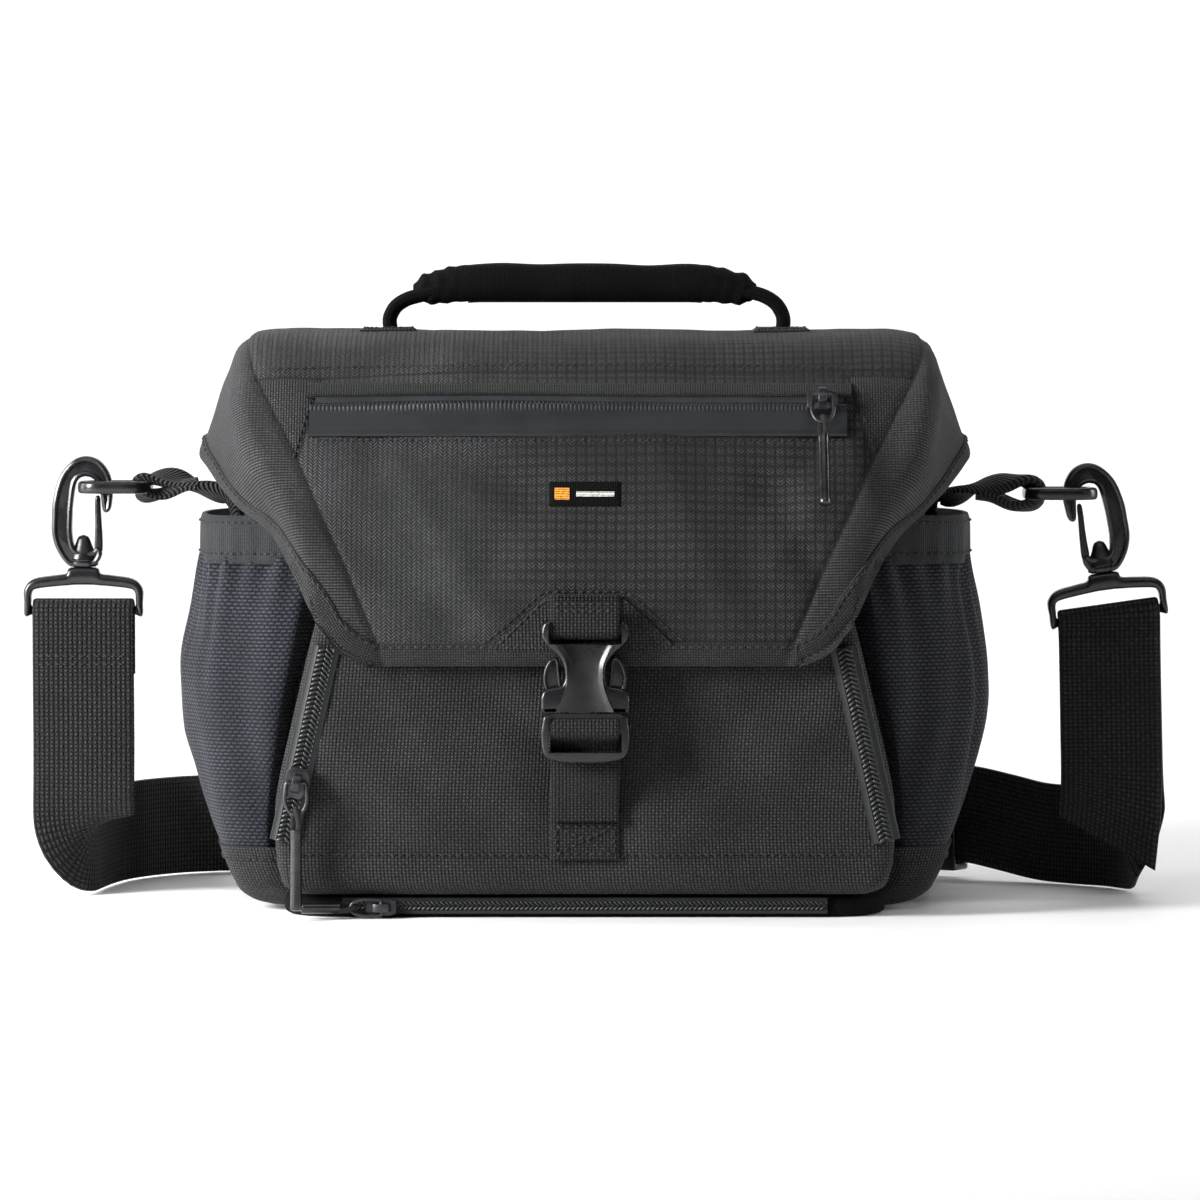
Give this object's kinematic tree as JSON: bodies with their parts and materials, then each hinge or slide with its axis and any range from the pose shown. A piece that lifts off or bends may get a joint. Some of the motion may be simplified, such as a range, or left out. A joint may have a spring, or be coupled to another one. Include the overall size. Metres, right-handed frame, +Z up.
{
  "type": "camera bag",
  "caption": "Shoulder camera bag: padded tub with dividers, buckled flap, zipped front pocket, stretch side pockets, carry handle and clip-on strap.",
  "frame": {"origin": "middle of the flat base, on the surface it stands on", "axes": "+Z up, -Y out of the front with the buckle, +X to the right as seen from the front"},
  "size_m": [0.4285, 0.2451, 0.2385],
  "materials": {
    "body_fabric": "charcoal ballistic weave",
    "flap_fabric": "charcoal herringbone weave with a fine grid",
    "mesh_knit": "navy-black stretch knit",
    "webbing": "black woven webbing",
    "zip_tape": "blue-grey coated zip tape",
    "plastic": "dark satin moulded",
    "zip_metal": "gunmetal satin",
    "pull_tube": "black shrink tube on braided cord",
    "liner": "grey brushed lining",
    "label": "plain woven label",
    "board": "stiff base board"
  },
  "bodies": {
    "bag": {"tub_shell": "body_fabric", "rain_cover_pouch": "body_fabric", "floor_board": "board", "divider_left": "liner", "divider_right": "liner", "back_panel": "body_fabric", "front_pocket": "body_fabric", "pocket_zip_left": "zip_tape", "pocket_zip_right": "zip_tape", "side_pocket_left": "mesh_knit", "side_pocket_right": "mesh_knit", "elastic_band_left": "webbing", "elastic_band_right": "webbing", "main_zip_tape": "zip_tape", "rain_zip_tape": "zip_tape", "lower_web": "webbing", "anchor_web_left": "webbing", "anchor_web_right": "webbing", "strap_yoke_left": "plastic", "strap_yoke_right": "plastic", "strap_web": "webbing", "shoulder_pad": "body_fabric", "strap_adjuster": "plastic"},
    "flap": {"flap_shell": "flap_fabric", "flap_zip_lower_tape": "zip_tape", "flap_zip_upper_tape": "zip_tape", "woven_label": "label", "handle_tab_left": "webbing", "handle_tab_right": "webbing", "buckle_web": "webbing", "buckle_patch": "body_fabric", "buckle_socket": "plastic"},
    "handle": {"carry_handle": "webbing"},
    "flap_slider": {"flap_zip_slider": "zip_metal"},
    "flap_pull": {"flap_pull_wire": "zip_metal", "flap_pull_tube": "pull_tube"},
    "pocket_slider": {"pocket_zip_slider": "zip_metal"},
    "pocket_pull": {"pocket_pull_wire": "zip_metal", "pocket_pull_tube": "pull_tube"},
    "main_slider_left": {"main_zip_slider_left": "zip_metal"},
    "main_pull_left": {"main_pull_left_wire": "zip_metal", "main_pull_left_tube": "pull_tube"},
    "main_slider_right": {"main_zip_slider_right": "zip_metal"},
    "main_pull_right": {"main_pull_right_wire": "zip_metal", "main_pull_right_tube": "pull_tube"},
    "rain_slider": {"rain_zip_slider": "zip_metal"},
    "rain_pull": {"rain_pull_wire": "zip_metal", "rain_pull_tube": "pull_tube"},
    "buckle_plug": {"buckle_plug": "plastic", "plug_web": "webbing"},
    "prong_left": {"buckle_prong_left": "plastic"},
    "prong_right": {"buckle_prong_right": "plastic"},
    "ring_left": {"strap_ring_left": "plastic"},
    "ring_right": {"strap_ring_right": "plastic"},
    "hook_left": {"snap_hook_left": "plastic"},
    "gate_left": {"hook_gate_left": "plastic"},
    "hook_right": {"snap_hook_right": "plastic"},
    "gate_right": {"hook_gate_right": "plastic"}
  },
  "joints": [
    {"name": "flap_hinge", "type": "hinge", "parent": "bag", "child": "flap", "pos_m": [0, 0.087, 0.201], "axis": [-1, 0, 0], "range_deg": [0, 170]},
    {"name": "handle_swing", "type": "hinge", "parent": "flap", "child": "handle", "pos_m": [0, -0.005, 0.219], "axis": [1, 0, 0], "range_deg": [-65, 65]},
    {"name": "flap_zip_run", "type": "slide", "parent": "flap", "child": "flap_slider", "axis": [-1, 0, 0], "range_m": [0, 0.178]},
    {"name": "flap_pull_swing", "type": "hinge", "parent": "flap_slider", "child": "flap_pull", "pos_m": [0.086, -0.07493, 0.18939], "axis": [-1, 0, 0], "range_deg": [0, 110]},
    {"name": "pocket_zip_run", "type": "slide", "parent": "bag", "child": "pocket_slider", "axis": [0.2169, 0, 0.9762], "range_m": [0, 0.036]},
    {"name": "pocket_pull_swing", "type": "hinge", "parent": "pocket_slider", "child": "pocket_pull", "pos_m": [-0.1042, -0.0917, 0.04986], "axis": [-1, 0, 0], "range_deg": [0, 110]},
    {"name": "main_zip_run_left", "type": "slide", "parent": "bag", "child": "main_slider_left", "axis": [0, 1, 0], "range_m": [0, 0.016]},
    {"name": "main_pull_swing_left", "type": "hinge", "parent": "main_slider_left", "child": "main_pull_left", "pos_m": [-0.1315, 0.028, 0.169], "axis": [1, 0, 0], "range_deg": [-15, 15]},
    {"name": "main_zip_run_right", "type": "slide", "parent": "bag", "child": "main_slider_right", "axis": [0, 1, 0], "range_m": [0, 0.016]},
    {"name": "main_pull_swing_right", "type": "hinge", "parent": "main_slider_right", "child": "main_pull_right", "pos_m": [0.1315, 0.028, 0.169], "axis": [1, 0, 0], "range_deg": [-15, 15]},
    {"name": "rain_zip_run", "type": "slide", "parent": "bag", "child": "rain_slider", "axis": [1, 0, 0], "range_m": [0, 0.15]},
    {"name": "rain_pull_swing", "type": "hinge", "parent": "rain_slider", "child": "rain_pull", "pos_m": [-0.074, -0.0823, 0.0041], "axis": [0, 0, 1], "range_deg": [0, 150]},
    {"name": "buckle_plug_run", "type": "slide", "parent": "bag", "child": "buckle_plug", "axis": [0, 0, -1], "range_m": [0, 0.018]},
    {"name": "prong_flex_left", "type": "hinge", "parent": "buckle_plug", "child": "prong_left", "pos_m": [-0.007, -0.0977, 0.0763], "axis": [0, 1, 0], "range_deg": [0, 8], "stiffness_Nm_per_rad": 0.05},
    {"name": "prong_flex_right", "type": "hinge", "parent": "buckle_plug", "child": "prong_right", "pos_m": [0.007, -0.0977, 0.0763], "axis": [0, -1, 0], "range_deg": [0, 8], "stiffness_Nm_per_rad": 0.05},
    {"name": "ring_swing_left", "type": "hinge", "parent": "bag", "child": "ring_left", "pos_m": [-0.1638, 0.005, 0.1545], "axis": [0, -1, 0], "range_deg": [0, 12]},
    {"name": "ring_swing_right", "type": "hinge", "parent": "bag", "child": "ring_right", "pos_m": [0.16591, 0.005, 0.1521], "axis": [0, 1, 0], "range_deg": [0, 12]},
    {"name": "hook_swivel_left", "type": "hinge", "parent": "bag", "child": "hook_left", "pos_m": [-0.188, 0.005, 0.1237], "axis": [0, 0, 1], "range_deg": [-15, 15]},
    {"name": "hook_swivel_right", "type": "hinge", "parent": "bag", "child": "hook_right", "pos_m": [0.1944, 0.005, 0.1216], "axis": [-0.1392, 0, 0.9903], "range_deg": [-15, 15]},
    {"name": "gate_left", "type": "hinge", "parent": "hook_left", "child": "gate_left", "pos_m": [-0.1824, 0.005, 0.1309], "axis": [0, 1, 0], "range_deg": [-20, 0], "stiffness_Nm_per_rad": 0.02},
    {"name": "gate_right", "type": "hinge", "parent": "hook_right", "child": "gate_right", "pos_m": [0.18785, 0.005, 0.12795], "axis": [0, -1, 0], "range_deg": [-20, 0], "stiffness_Nm_per_rad": 0.02}
  ]
}
